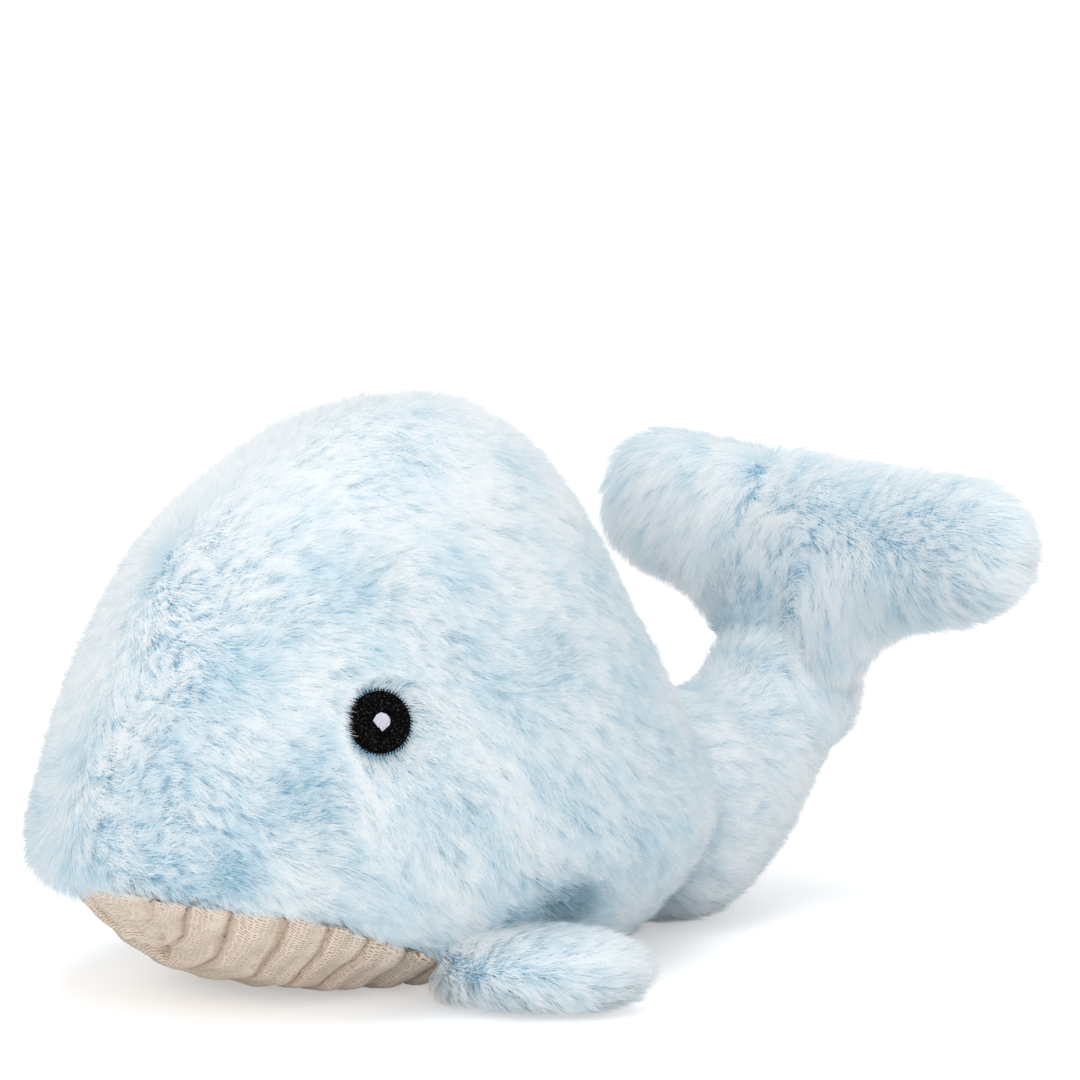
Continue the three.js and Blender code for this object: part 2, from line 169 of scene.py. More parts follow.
def linear(hex_colour):
    """An sRGB hex colour as linear RGBA."""
    channels = [int(hex_colour[i : i + 2], 16) / 255 for i in (1, 3, 5)]
    return [c / 12.92 if c <= 0.04045 else ((c + 0.055) / 1.055) ** 2.4 for c in channels] + [1]


def add(tree, kind, inputs=None, stops=None, **settings):
    """Adds a shader node. Its inputs are plain values or other nodes' outputs."""
    made = tree.nodes.new("ShaderNode" + kind)
    for key, value in settings.items():
        setattr(made, key, value)
    for key, value in (inputs or {}).items():
        if isinstance(value, bpy.types.NodeSocket):
            tree.links.new(value, made.inputs[key])
        else:
            made.inputs[key].default_value = value
    for index, (place, colour) in enumerate(stops or []):
        elements = made.color_ramp.elements
        stop = elements[index] if index < 2 else elements.new(place)
        stop.position = place
        stop.color = linear(colour)
    return made


def finish_of(name, **plain):
    """A new material with its plain shader values, its node tree and its shader."""
    material = bpy.data.materials.new(name)
    material.use_nodes = True
    tree = material.node_tree
    shader = tree.nodes["Principled BSDF"]
    for key, value in plain.items():
        shader.inputs[key.replace("_", " ")].default_value = value
    return material, tree, shader


def fibrous(name, grain, stops, strength, distance, **plain):
    """A new material of fine fibres. A noise of the given grain is both its colours and its relief."""
    material, tree, shader = finish_of(name, **plain)
    place = add(tree, "TexCoord").outputs["Object"]
    noise = add(tree, "TexNoise", {"Vector": place, **grain}).outputs["Fac"]
    colours = add(tree, "ValToRGB", {"Fac": noise}, stops=stops)
    bump = add(tree, "Bump", {"Height": noise, "Strength": strength, "Distance": distance})
    tree.links.new(colours.outputs["Color"], shader.inputs["Base Color"])
    tree.links.new(bump.outputs["Normal"], shader.inputs["Normal"])
    return material


backing = fibrous(
    "knitted_polyester_backing",
    {"Scale": LOOPS_PER_METRE, "Detail": 2},
    [(0.35, "#6fa5c4"), (0.65, "#a9cde0")],
    strength=0.4,
    distance=0.3 * MM,
    Roughness=0.95,
    Specular_IOR_Level=0.1,
)


def laid_in(piece, depth):
    """Swells a piece so that its seams close, then draws its outer face in under the pile's middle."""
    for vertex in piece.data.vertices:
        vertex.co += vertex.normal * SEAM_SWELL
        _, normal, _, gap = surface_search.find_nearest(vertex.co)
        if gap < depth:
            vertex.co -= normal * (depth - gap)


FUR_BODIES = {
    "left_side_panel": "whale_body",
    "right_side_panel": "whale_body",
    "tail_left_panel": "tail",
    "tail_right_panel": "tail",
    "fluke_front_panel": "fluke",
    "fluke_back_panel": "fluke",
    "left_flipper_top_panel": "left_flipper",
    "left_flipper_bottom_panel": "left_flipper",
    "right_flipper_top_panel": "right_flipper",
    "right_flipper_bottom_panel": "right_flipper",
}
for node, body in FUR_BODIES.items():
    depth = BODY_PILE_DEPTH if body == "whale_body" else LIMB_PILE_DEPTH
    skin = rounded(joined_copy(node.replace("panel", "backing"), [node]), BACKING_WEAVE, BACKING_EASING)
    laid_in(skin, depth)
    skin.data.materials.append(backing)
    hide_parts(node)
    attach(skin, body)


# Filling
# Loose white polyester fibre fills the body, the tail, the fluke and the flippers. It is packed by
# hand and lies in lumps against the backing. The tail's is looser, so that the fluke can nod.
FILLING_WEAVE = 5 * MM
FILLING_EASING = 3
WISPS_PER_METRE = 260
LUMP = 22 * MM
LUMP_DEPTH = 0.5 * MM
TAIL_SLACK = 2.5

filling = fibrous(
    "polyester_fibre_filling",
    {"Scale": WISPS_PER_METRE, "Detail": 6, "Distortion": 1.5},
    [(0.3, "#dedcd6"), (0.7, "#faf9f6")],
    strength=0.6,
    distance=1 * MM,
    Roughness=0.95,
    Specular_IOR_Level=0.1,
)

FILLED = {
    "body_stuffing": "whale_body",
    "tail_stuffing": "tail",
    "fluke_stuffing": "fluke",
    "left_flipper_stuffing": "left_flipper",
    "right_flipper_stuffing": "right_flipper",
}
for seed, (node, body) in enumerate(FILLED.items()):
    fill = rounded(joined_copy(node.replace("stuffing", "filling"), [node]), FILLING_WEAVE, FILLING_EASING)
    points = numbers(fill.data.vertices, "co", 3)
    slack = TAIL_SLACK if body == "tail" else 1
    inward = (ripple(points, LUMP, seed) - 1)[:, None] * LUMP_DEPTH * slack
    points += inward * numbers(fill.data.vertices, "normal", 3)
    fill.data.vertices.foreach_set("co", points.ravel())
    fill.data.materials.append(filling)
    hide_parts(node)
    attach(fill, body)


# Fur
# Frosted faux fur: straight, fine polyester fibres about 15 mm long, deep blue at the root and nearly
# white at the tip. The nap lies back and down, parts down the snout, stands up in whorls and falls
# away from the eyes, and neighbouring fibres cling together in small locks.
FIBRES = 640_000
FIBRE_WIDTH = 0.24 * MM
FIBRE_WIDTHS = (0.75, 1.2)
FIBRE_LENGTHS = (0.75, 1.25)
FIBRE_CHANGE = 0.08
FIBRE_TURN = 0.2
FIBRE_STRAY = 0.35 * MM
FIBRE_TINT = 0.14
FIBRE_SOFTNESS = 0.8
BODY_RISE = 9.6 * MM
LIMB_RISE = 7.8 * MM
STANDING_RISE = 1.4 * MM
LYING_REACH = 8.8 * MM
STANDING_REACH = 4 * MM
COMBED_STRETCH = 0.4
COMBED_HOLD = 0.5
FLUKE_STRETCH = 0.25
DROOP = 0.8 * MM
EYE_RADIUS = 9.5 * MM
EYE_CLEARANCE = 0.5 * MM
EYE_TRIM = 0.42
EYE_TRIM_REACH = 9 * MM
EYES = {side: sum(map(Vector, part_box(f"{side}_eye_disc")), Vector()) / 2 for side, _ in SIDES}
PARTING = -12 * MM
PARTING_SOFTNESS = 5 * MM
TOP_PARTING = 0.45
FOREHEAD = (-50 * MM, -90 * MM)
CROWN = (95 * MM, 140 * MM)
CROWN_WIDTH = 6 * MM
CROWN_SOFTNESS = 10 * MM
FLOOR_FUR = 4 * MM
TINTS = 32
PILE_OPENNESS = 0.93
BLADE_ROLL = 0.45
ROLL_LIMIT = 1.3
STEPS = np.array([0.22, 0.64, 1])
LEAN_CURVE = 1.4

# A lock's own turn, length, rise, cling and tint, each by chance within these amounts.
LOCK_SHARE = 0.04
LOCK_TURN = 0.22
LOCK_CHANGE = 0.09
LOCK_LENGTHS = (0.75, 1.3)
LOCK_RISE = 0.05
LOCK_CLING = 0.3
CLING_CURVE = 1.5
LOCK_TINT = 0.15

# How far the fur stands up: its plain stand from 0 to 1, and what single places add or take away.
PLAIN_STAND = 0.32
STAND_CHANGE = 0.22
CROWN_STAND = 0.8
WHORL_STAND = 0.7
FLIPPER_STAND = 0.8
COMBED_FLATNESS = 0.8
TOP_FLATNESS = 0.6
FLUKE_STAND = 0.5

# How the fur lies apart from the strokes below, as directions on the whale's left, and its turns.
PLAIN_LAY = (0.1, 0.2, -0.08)
TAIL_LAY = (0, 0.12, 0.1)
FLIPPER_LAY = (0.3, 0.1, 0)
FLUKE_SPREAD = 0.2
SNOUT_FALL = 0.7
FLUKE_RISE = 0.45
FLUKE_MIDDLE = 30 * MM
BRIDGE = (-30 * MM, -80 * MM)
BRIDGE_WIDTH = 15 * MM
EYE_PUSH = 4
EYE_PUSH_REACH = 4 * MM
WIDE_TURN = 0.2
SMALL_TURN = 0.16
WHORL_TURN = 0.8

# Whorls that show in the photograph, on the whale's left: place and radius in millimetres. The right side
# has them too.
WHORLS = [
    ((55, -76, 69), 15),
    ((46, -40, 133), 12),
    ((62, 15, 105), 12),
    ((45, -94, 50), 9),
    ((77, 4, 38), 12),
    ((75, -13, 33), 9),
    ((74, 17, 31), 10),
]

# The way the nap is stroked, as it shows in the photograph: place in millimetres, and angle up from the
# picture's right.
STROKES = [
    ((42, 15, 148), 0),
    ((27, -41, 152), -5),
    ((4, -76, 136), 0),
    ((40, -65, 121), -3),
    ((59, 5, 116), 0),
    ((16, -13, 169), -80),
    ((-20, -91, 107), -55),
    ((-5, -108, 74), 5),
    ((22, -104, 72), 0),
    ((42, -92, 67), -25),
    ((52, -86, 49), -85),
    ((26, -108, 51), -8),
    ((60, -74, 45), 30),
    ((69, -52, 60), -75),
    ((74, -36, 53), -95),
    ((75, -13, 69), -55),
    ((69, -22, 86), -38),
    ((57, -37, 111), -50),
    ((65, -5, 101), 0),
    ((47, -70, 102), -15),
    ((76, 11, 64), -88),
    ((69, 37, 69), -35),
    ((76, 29, 43), -45),
    ((46, 38, 127), -20),
    ((79, -8, 47), -85),
    ((53, 47, 104), -10),
    ((22, 113, 65), -40),
    ((34, 119, 50), 5),
    ((33, 100, 20), -15),
    ((19, 155, 67), 20),
    ((25, 150, 52), -60),
    ((97, -15, 17), -3),
    ((108, 6, 15), -15),
    ((100, 12, 22), 50),
    ((15, -103, 37), 0),
    ((38, -87, 33), -5),
    ((56, -61, 30), -8),
    ((64, -34, 22), -20),
]
FLUKE_STROKES = [
    ((-70, 170, 116), -125),
    ((-45, 169, 119), -100),
    ((-9, 164, 104), 35),
    ((0, 172, 128), -30),
    ((35, 167, 98), -90),
    ((46, 174, 130), 0),
    ((78, 176, 131), 0),
    ((79, 171, 113), -20),
]
STROKE_REACH = 20 * MM
FLUKE_CROSSING = (-28, 176, 132)
VIEW_TURN = math.radians(50)
VIEW_RISE = math.radians(9.5)
VIEW_RIGHT = np.array((math.cos(VIEW_TURN), math.sin(VIEW_TURN), 0))
VIEW_BACK = np.array((-math.sin(VIEW_TURN), math.cos(VIEW_TURN), 0))
VIEW_UP = math.cos(VIEW_RISE) * np.array((0, 0, 1)) + math.sin(VIEW_RISE) * VIEW_BACK

chance = np.random.default_rng(7)


def roots_on(count):
    """Evenly spread root places on the pile's surface, with the surface's normals there."""
    a, b, c = (surface_points[surface_faces[:, k]] for k in range(3))
    areas = np.linalg.norm(np.cross(b - a, c - a), axis=1)
    faces = surface_faces[chance.choice(len(areas), count, p=areas / areas.sum())]
    u, v = chance.uniform(size=(2, count, 1))
    over = u + v > 1
    u, v = np.where(over, 1 - u, u), np.where(over, 1 - v, v)
    weights = (1 - u - v, u, v)
    places = sum(w * surface_points[faces[:, k]] for k, w in enumerate(weights))
    normals = sum(w * surface_normals[faces[:, k]] for k, w in enumerate(weights))
    return places, unit(normals)


def stroked(places, strokes):
    """The way that the nearest strokes leave the nap at each place."""
    flow = np.zeros_like(places)
    for spot, degrees in strokes:
        away = np.linalg.norm(places - np.array(spot) * MM, axis=1, keepdims=True)
        angle = math.radians(degrees)
        way = math.cos(angle) * VIEW_RIGHT + math.sin(angle) * VIEW_UP
        flow += falloff(away, STROKE_REACH) * way
    return flow


def mirrored(vectors, sides):
    """Vectors that are meant for the whale's left, as their mirror image where the side is -1."""
    return vectors * np.stack([sides, np.ones_like(sides), np.ones_like(sides)], axis=1)


def laid_flat(flow, normals):
    """Directions brought into the surface, with length 1."""
    return unit(flow - (flow * normals).sum(axis=1, keepdims=True) * normals)


def turned(flow, normals, angle):
    """Directions turned about the normals."""
    return flow * np.cos(angle)[:, None] + np.cross(normals, flow) * np.sin(angle)[:, None]


def nap(places, normals, bodies):
    """The way the fur lies at each root, along the surface, how far it stands up and how whorled it is."""
    x, y, z = places.T
    side = np.sign(x)
    on_body, on_tail, on_fluke = (bodies == body for body in ("whale_body", "tail", "fluke"))
    on_flipper = np.char.endswith(bodies, "flipper")
    crown = ramp(z, *CROWN)
    parting = PARTING * mixed(TOP_PARTING, 1, ramp(y, *FOREHEAD))
    softness = PARTING_SOFTNESS + CROWN_SOFTNESS * crown
    half = np.where(on_body | on_tail, np.where(x > parting, 1, -1), side)
    part = np.where(on_body | on_tail, np.tanh((x - parting) / softness), side)
    flow = stroked(mirrored(places, half), STROKES) + PLAIN_LAY
    flow[:, 0] *= part
    flow[:, 2] -= SNOUT_FALL * ramp(y, *BRIDGE) * falloff(x - parting, BRIDGE_WIDTH)
    flow[on_tail] += TAIL_LAY
    outwards = np.clip(np.abs(x) / FLUKE_MIDDLE, 0, 1)
    spread = np.stack([side * outwards, 0 * x, FLUKE_RISE * (1 - 2 * outwards)], axis=1)
    flow[on_fluke] = (stroked(places, FLUKE_STROKES) + FLUKE_SPREAD * spread)[on_fluke]
    flow[on_flipper] += mirrored(FLIPPER_LAY, side)[on_flipper]

    standing = PLAIN_STAND + STAND_CHANGE * ripple(places, 30 * MM, seed=11)
    standing += CROWN_STAND * on_body * crown * falloff(x - parting, CROWN_WIDTH)
    turn = WIDE_TURN * ripple(places, 48 * MM, seed=12) + SMALL_TURN * ripple(places, 15 * MM, seed=13)
    whorled = 0 * x
    for (wx, wy, wz), radius in WHORLS:
        for _, sign in SIDES:
            away = places - np.array((sign * wx, wy, wz)) * MM
            near = falloff(np.linalg.norm(away, axis=1), radius * MM)
            standing += WHORL_STAND * near
            whorled += near
            turn += sign * WHORL_TURN * near
    flow = laid_flat(flow, normals)
    for eye in EYES.values():
        away = places - np.array(eye)
        distance = np.linalg.norm(away, axis=1, keepdims=True)
        near = falloff(distance - EYE_RADIUS, EYE_PUSH_REACH)
        flow += EYE_PUSH * near * away / distance
        turn *= 1 - near[:, 0]
    return turned(laid_flat(flow, normals), normals, turn), np.clip(standing, 0, 1), whorled


def strands(root, normal, flow, rise, reach, droop):
    """Points along fibres that rise from their roots and bend over the way they lie."""
    t = STEPS[None, :, None]
    up = rise[:, None, None] * (2 * t - t * t)
    over = reach[:, None, None] * t**LEAN_CURVE
    points = root[:, None] + normal[:, None] * up + flow[:, None] * over
    points[:, :, 2] -= droop[:, None] * STEPS**2
    return points


# The height of the belly's seam along the left side, where the fur is cut short.
BELLY_END = 20 * MM
SEAM_SAMPLES = 24
SEAM_TRIM = 0.5
HANGING_SHARE = 0.5
HANGING_LENGTH = 0.05
side_points = numbers(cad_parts["left_side_panel"].data.vertices, "co", 3)
seam_places = np.linspace(side_points[:, 1].min(), BELLY_END, SEAM_SAMPLES)
seam_heights = [side_points[np.abs(side_points[:, 1] - y) < 5 * MM, 2].min() for y in seam_places]

places, normals = roots_on(FIBRES)
nearest = [panel_search.find_nearest(place) for place in places.tolist()]
panel = np.array([panels[panel_of_face[face]] for _, _, face, _ in nearest])
eye_gap = np.min([np.linalg.norm(places - np.array(eye), axis=1) for eye in EYES.values()], axis=0)
kept = np.isin(panel, list(FUR_BODIES)) & (eye_gap > EYE_RADIUS + EYE_CLEARANCE)
places, normals, panel, eye_gap = places[kept], normals[kept], panel[kept], eye_gap[kept]
count = len(places)
x, y, z = places.T

# Parts of the coat, each from 0 to 1. The fur is combed flat along the middle of the head and stands up in
# a band over the flippers. Over the belly's seam it is shorn, apart from some that hangs at the snout. The
# band over the flippers and the snout are painted bluer as painted shade, and the top paler as painted
# light.
bodies = np.array([FUR_BODIES[name] for name in panel])
on_body, on_tail, on_fluke = (bodies == body for body in ("whale_body", "tail", "fluke"))
limb = np.where(on_body, 0.0, 1.0)
combed = on_body * falloff(x + 5 * MM, 20 * MM) * ramp(y, 0, -60 * MM)
flat_and_painted_lit_top = on_body * ramp(z, 110 * MM, 160 * MM)
band = 31 * MM + 0.48 * np.minimum(y, 0)
flipper_band_standing_and_shade = falloff(z - band, 8 * MM) * falloff(y, 33 * MM, power=4)
flipper_band_standing_and_shade *= on_body * (np.abs(x) > 50 * MM)
by_belly = on_body & (y < BELLY_END)
above_seam = z - np.interp(y, seam_places, seam_heights)
hanging = by_belly * ramp(x, -2 * MM, -14 * MM) * ramp(y, -85 * MM, -100 * MM)
hanging *= ramp(above_seam, 30 * MM, 12 * MM)
shorn = SEAM_TRIM * (1 - ramp(above_seam, 0, 13 * MM)) * (1 - HANGING_SHARE * hanging)
snout = on_body * ramp(y, -85 * MM, -105 * MM) * ramp(z, 80 * MM, 50 * MM)
rear = on_body * ramp(y, 10 * MM, 50 * MM) * ramp(z, 140 * MM, 100 * MM)
topline = on_body * ramp(z, 120 * MM, 145 * MM) * falloff(x, 9 * MM)
crossing = falloff(np.linalg.norm(places - np.array(FLUKE_CROSSING) * MM, axis=1), 14 * MM)
round_eye = ramp(eye_gap, EYE_RADIUS + EYE_TRIM_REACH, EYE_RADIUS + 3 * MM)

flow, standing, whorled = nap(places, normals, bodies)
standing *= 1 - COMBED_FLATNESS * np.maximum(combed, TOP_FLATNESS * flat_and_painted_lit_top)
standing += FLIPPER_STAND * flipper_band_standing_and_shade
standing[on_fluke] *= FLUKE_STAND

root = places - mixed(BODY_PILE_DEPTH, LIMB_PILE_DEPTH, limb)[:, None] * normals
trimmed = mixed(EYE_TRIM, 1, ramp(eye_gap, EYE_RADIUS, EYE_RADIUS + EYE_TRIM_REACH))
trimmed *= np.where(by_belly, 1 - shorn, 1) * (1 + HANGING_LENGTH * hanging)
length_share = trimmed * chance.normal(1, FIBRE_CHANGE, count).clip(*FIBRE_LENGTHS)
rise = (mixed(BODY_RISE, LIMB_RISE, limb) + standing * STANDING_RISE) * length_share
reach = mixed(LYING_REACH, STANDING_REACH, standing) * length_share
reach *= 1 + COMBED_STRETCH * combed + FLUKE_STRETCH * on_fluke
droop = DROOP * (1 - standing + hanging)

# Locks: each fibre leans towards the middle fibre of its lock.
lock_count = int(count * LOCK_SHARE)
middles = chance.choice(count, lock_count, replace=False)
lock_search = KDTree(lock_count)
for index, middle in enumerate(middles):
    lock_search.insert(places[middle], index)
lock_search.balance()
strayed = places + chance.normal(0, FIBRE_STRAY, (count, 3))
lock = np.array([lock_search.find(place)[1] for place in strayed.tolist()])
lock_turn = chance.normal(0, LOCK_TURN, lock_count)
lock_length = chance.normal(1, LOCK_CHANGE, lock_count).clip(*LOCK_LENGTHS)
lock_cling = chance.uniform(0, LOCK_CLING, lock_count)
lock_rise = chance.normal(1, LOCK_RISE, lock_count)

turn = lock_turn[lock] + chance.normal(0, FIBRE_TURN, count)
flow = turned(flow, normals, turn * (1 - COMBED_HOLD * np.maximum(combed, on_fluke)))
rise *= lock_rise[lock]
reach *= lock_length[lock]
points = strands(root, normals, flow, rise, reach, droop)
guide = points[middles][lock]
points += lock_cling[lock][:, None, None] * STEPS[None, :, None] ** CLING_CURVE * (guide - points)
points += chance.normal(0, FIBRE_STRAY, (count, 3))[:, None] * STEPS[None, :, None] ** 2
low = points[:, :, 2] < FLOOR_FUR
points[:, :, 2] = np.where(low, FLOOR_FUR * np.exp(points[:, :, 2] / FLOOR_FUR - 1), points[:, :, 2])

# Each fibre is a flat, tapering blade, rolled by chance about its own line.
BLADE_WIDTHS = 1.1 - 0.6 * STEPS[:-1]
along = unit((points[:, 1:] - points[:, :-1]).reshape(-1, 3)).reshape(count, -1, 3)
along = np.concatenate([along, along[:, -1:]], axis=1)
flat = unit(np.cross(along.reshape(-1, 3), np.repeat(normals, len(STEPS), axis=0)))
roll = np.repeat(chance.normal(0, BLADE_ROLL, count).clip(-ROLL_LIMIT, ROLL_LIMIT), len(STEPS))
flat = turned(flat, along.reshape(-1, 3), roll).reshape(count, -1, 3)
width = FIBRE_WIDTH * chance.uniform(*FIBRE_WIDTHS, count)
half = 0.5 * width[:, None, None] * BLADE_WIDTHS[None, :, None] * flat[:, :-1]
facing = np.cross(flat.reshape(-1, 3), along.reshape(-1, 3)).reshape(count, -1, 3)
softened = unit((FIBRE_SOFTNESS * normals[:, None] + (1 - FIBRE_SOFTNESS) * facing).reshape(-1, 3))
softened = softened.reshape(count, -1, 3)[:, [0, 0, 1, 1, 2]]
body_points = points[:, :-1]
edges = np.stack([body_points - half, body_points + half], axis=2).reshape(count, -1, 3)
blades = np.concatenate([edges, points[:, -1:]], axis=1)

# The tint of each fibre, from nearly white at 0 to blue at 1: its plain value, and what each place on the
# coat adds to it. Some of these are painted light and painted shade, not the fur's own colour.
PLAIN_TINT = 0.42
tinted = (
    (0.22, ripple(places, 30 * MM, seed=21)),
    (0.12, ripple(places, 9 * MM, seed=22)),
    (0.25, whorled * on_body),
    (-0.4, combed * (1 - snout)),
    # Painted light: the fur is paler towards the top of the body, where the lamp above falls.
    (-0.3, flat_and_painted_lit_top),
    # Painted shade: the snout, which faces forward and down, is bluer.
    (0.2, snout),
    (0.15, rear),
    (-0.2, limb),
    # Painted shade: the band over the flippers, where the body meets them, is much bluer.
    (0.55, flipper_band_standing_and_shade),
    (-0.4, crossing),
    (-0.3, topline),
    (-0.7, round_eye),
)
tint = PLAIN_TINT + sum(share * feature for share, feature in tinted)
tint += chance.normal(0, LOCK_TINT, lock_count)[lock] + chance.normal(0, FIBRE_TINT, count)
tint_column = (np.clip(tint, 0, 0.999) * TINTS).astype(int)

BLADE_CORNERS = np.array([0, 1, 3, 2, 2, 3, 4])
BLADE_FACES = np.array([0, 4])
BLADE_POINTS = 5
BLADE_UP = np.repeat(STEPS, 2)[:BLADE_POINTS]
BLADE_ACROSS = np.array([0.15, 0.85, 0.15, 0.85, 0.5])
UV_MARGIN = 0.02


def tuft(name, chosen):
    """One piece of fur with the chosen fibres. Its UV map holds a fibre's tint and the way up along it."""
    own = blades[chosen].reshape(-1, 3)
    fibres = int(chosen.sum())
    starts = np.arange(fibres)[:, None]
    mesh = bpy.data.meshes.new(name)
    mesh.vertices.add(len(own))
    mesh.vertices.foreach_set("co", own.ravel())
    mesh.loops.add(fibres * len(BLADE_CORNERS))
    corners = (starts * BLADE_POINTS + BLADE_CORNERS).ravel()
    mesh.loops.foreach_set("vertex_index", corners)
    mesh.polygons.add(fibres * len(BLADE_FACES))
    mesh.polygons.foreach_set("loop_start", (starts * len(BLADE_CORNERS) + BLADE_FACES).ravel())
    mesh.update(calc_edges=True)
    shading = mesh.attributes.new("custom_normal", "FLOAT_VECTOR", "POINT")
    shading.data.foreach_set("vector", softened[chosen].ravel())
    across = (tint_column[chosen][:, None] + BLADE_ACROSS[BLADE_CORNERS]) / TINTS
    up = np.broadcast_to(mixed(UV_MARGIN, 1 - UV_MARGIN, BLADE_UP[BLADE_CORNERS]), across.shape)
    layer = mesh.uv_layers.new(name="OFBake", do_init=False)
    layer.uv.foreach_set("vector", np.stack([across, up], axis=2).ravel())
    mesh.shade_smooth()
    mesh.materials.append(fur)
    made = bpy.data.objects.new(name, mesh)
    scene.collection.objects.link(made)
    return made


fur, tree, shader = finish_of(
    "frosted_faux_fur", Roughness=0.6, Specular_IOR_Level=0.25, Sheen_Weight=0.1, Sheen_Roughness=0.5
)
uv = add(tree, "UVMap", uv_map="OFBake").outputs["UV"]
split = add(tree, "SeparateXYZ", {"Vector": uv}).outputs
pale = add(
    tree,
    "ValToRGB",
    {"Fac": split["Y"]},
    stops=[(0.2, "#c9e4f1"), (1.0, "#fdfeff"), (0.5, "#e3f1f8"), (0.75, "#f6fbfd")],
)
deep = add(
    tree,
    "ValToRGB",
    {"Fac": split["Y"]},
    stops=[(0.2, "#86c0de"), (1.0, "#e6f3fa"), (0.55, "#b2d8ea"), (0.85, "#d8ebf5")],
)
blend = add(
    tree,
    "Mix",
    {"Factor": split["X"], "A": pale.outputs["Color"], "B": deep.outputs["Color"]},
    data_type="RGBA",
)
tree.links.new(blend.outputs["Result"], shader.inputs["Base Color"])

# A fibre is round and clear, so a blade shows the light of its upper side from below too.
below = add(tree, "BsdfTranslucent", {"Color": blend.outputs["Result"]})
behind = add(tree, "NewGeometry").outputs["Backfacing"]
fibre = add(tree, "MixShader", {0: behind, 1: shader.outputs["BSDF"], 2: below.outputs["BSDF"]})
fibre = fibre.outputs["Shader"]

# A modelled blade is several real fibres wide, so part of the light for the next ones passes between them.
between = add(tree, "BsdfTransparent").outputs["BSDF"]
open_pile = add(tree, "MixShader", {0: PILE_OPENNESS, 1: fibre, 2: between}).outputs["Shader"]
lights = add(tree, "LightPath").outputs
seen = fibre
for ray in ("Is Shadow Ray", "Is Diffuse Ray"):
    seen = add(tree, "MixShader", {0: lights[ray], 1: seen, 2: open_pile}).outputs["Shader"]
tree.links.new(seen, tree.nodes["Material Output"].inputs["Surface"])

TAIL_SPLIT = 142 * MM
BODY_SPLIT = 75 * MM
HEAD_SPLIT = -35 * MM
LOBE_SPLIT = 34 * MM
CHEEK_TOP = 75 * MM
FLANK_TOP = 80 * MM
for side, sign in SIDES:
    own = sign * x > 0
    head = own & on_body & (y < HEAD_SPLIT)
    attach(tuft(f"fur_head_{side}", head & (z > CHEEK_TOP)), "whale_body")
    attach(tuft(f"fur_cheek_{side}", head & (z <= CHEEK_TOP)), "whale_body")
    trunk = own & on_body & (y >= HEAD_SPLIT) & (y < BODY_SPLIT)
    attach(tuft(f"fur_back_{side}", trunk & (z > FLANK_TOP)), "whale_body")
    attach(tuft(f"fur_flank_{side}", trunk & (z <= FLANK_TOP)), "whale_body")

    # The cloth bends over the root of the tail and over its neck, and the pile there stretches. These
    # pieces, like those of the lobes and flippers, are attached to no body.
    rump = own & ((on_body & (y >= BODY_SPLIT)) | (on_tail & (y < TAIL_SPLIT)))
    rump = tuft(f"fur_rump_{side}", rump)
    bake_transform(rump)
    neck = own & ((on_tail & (y >= TAIL_SPLIT)) | (on_fluke & (np.abs(x) < LOBE_SPLIT)))
    neck = tuft(f"fur_neck_{side}", neck)
    lobe = tuft(f"fur_lobe_{side}", on_fluke & (sign * x >= LOBE_SPLIT))
    for piece in (neck, lobe):
        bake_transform(piece)
    flipper = tuft(f"fur_flipper_{side}", bodies == f"{side}_flipper")
    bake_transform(flipper)


# Belly
# Beige chenille velour with padded ribs that run from side to side and fan out round the chin. Its short
# pile is knitted in courses across the ribs, and its edge is tucked under the fur at the mouth seam.
BELLY_WEAVE = 0.9 * MM
BELLY_EASING = 4
RIB_PITCH = 12
RIB_DEPTH = 3.2 * MM
RIB_SWELL = 0.5 * MM
RIB_ROUNDNESS = 2.6
RIB_BLUR = 60
RIB_BEND = 2 * MM
HEM = (3.5 * MM, 2 * MM)
CRUMPLES = ((0.35 * MM, 22 * MM), (0.105 * MM, 7 * MM))
CHIN_TUCK = 3.5 * MM
CHIN_NUB = (-9, -93, 18)
NUB_RADIUS = 2.3 * MM
NUB_HEIGHT = 2.2 * MM
NUB_WAY = (-0.3, -0.5, -0.8)
KEEL_TUCK = 2 * MM

# The knitted pile, in millimetres: its columns run along the ribs, and its courses across them.
RIB_COLUMN = 13
COURSE = 0.55
TUFT_COLUMN = 1.5
TUFT_WANDER = (1.9, 2.4, 0)


def evened(values, mesh, rounds):
    """Values at a mesh's vertices, each blended with its neighbours' values that many times."""
    ends = np.empty(2 * len(mesh.edges), dtype=np.int32)
    mesh.edges.foreach_get("vertices", ends)
    a, b = ends.reshape(-1, 2).T
    neighbours = np.bincount(ends, minlength=len(values))[:, None]
    for _ in range(rounds):
        totals = [np.bincount(a, v[b], len(v)) + np.bincount(b, v[a], len(v)) for v in values.T]
        values = 0.5 * (values + np.stack(totals, axis=1) / neighbours)
    return values


def attribute(mesh, name, kind, key, values):
    """Gives a mesh's vertices an attribute that its material reads."""
    mesh.attributes.new(name, kind, "POINT").data.foreach_set(key, values.ravel())


# The belly without its ribs is the same cloth, smoothed until they are gone and then filled out again.
belly = rounded(joined_copy("belly_velour", ["belly_panel"]), BELLY_WEAVE, BELLY_EASING)
points = numbers(belly.data.vertices, "co", 3)
plain = rounded(joined_copy("plain_belly", ["belly_panel"]), BELLY_WEAVE, RIB_BLUR)
plain_points = numbers(plain.data.vertices, "co", 3)
outward = numbers(plain.data.vertices, "normal", 3)
bpy.data.objects.remove(plain)
plain_points += evened(points - plain_points, belly.data, RIB_BLUR)

